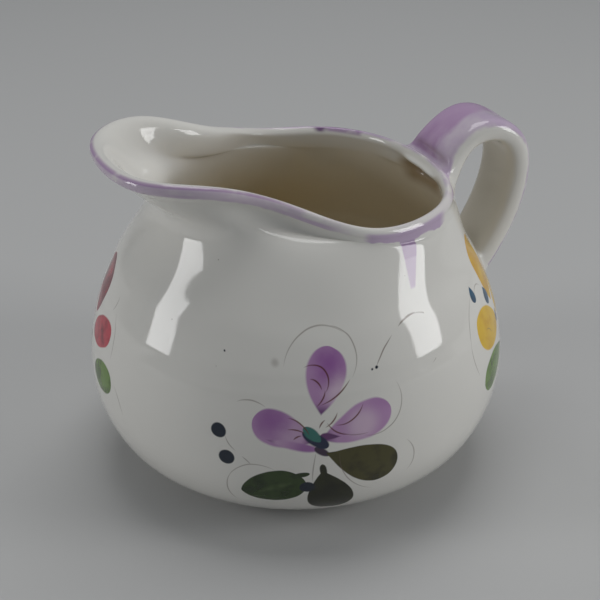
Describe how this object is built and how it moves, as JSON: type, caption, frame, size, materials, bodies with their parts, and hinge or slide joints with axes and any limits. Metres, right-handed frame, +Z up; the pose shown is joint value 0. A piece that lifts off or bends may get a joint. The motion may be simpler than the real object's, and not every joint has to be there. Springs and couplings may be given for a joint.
{
  "type": "pitcher",
  "caption": "Squat round pouring pitcher with a wide pulled lip, a rolled rim and a looped strap handle, glazed and cast in one piece.",
  "frame": {"origin": "on the axis of the round body, level with the bottom of the foot ring that the pitcher stands on", "axes": "+Z up out of the mouth, -X towards the pouring lip, +X towards the handle; both sides of the plane Y = 0 mirror each other"},
  "size_m": [0.1866, 0.1698, 0.1419],
  "materials": {
    "cream_glaze": "glossy cream glaze over earthenware"
  },
  "bodies": {
    "root": {"pitcher": "cream_glaze"}
  },
  "joints": []
}
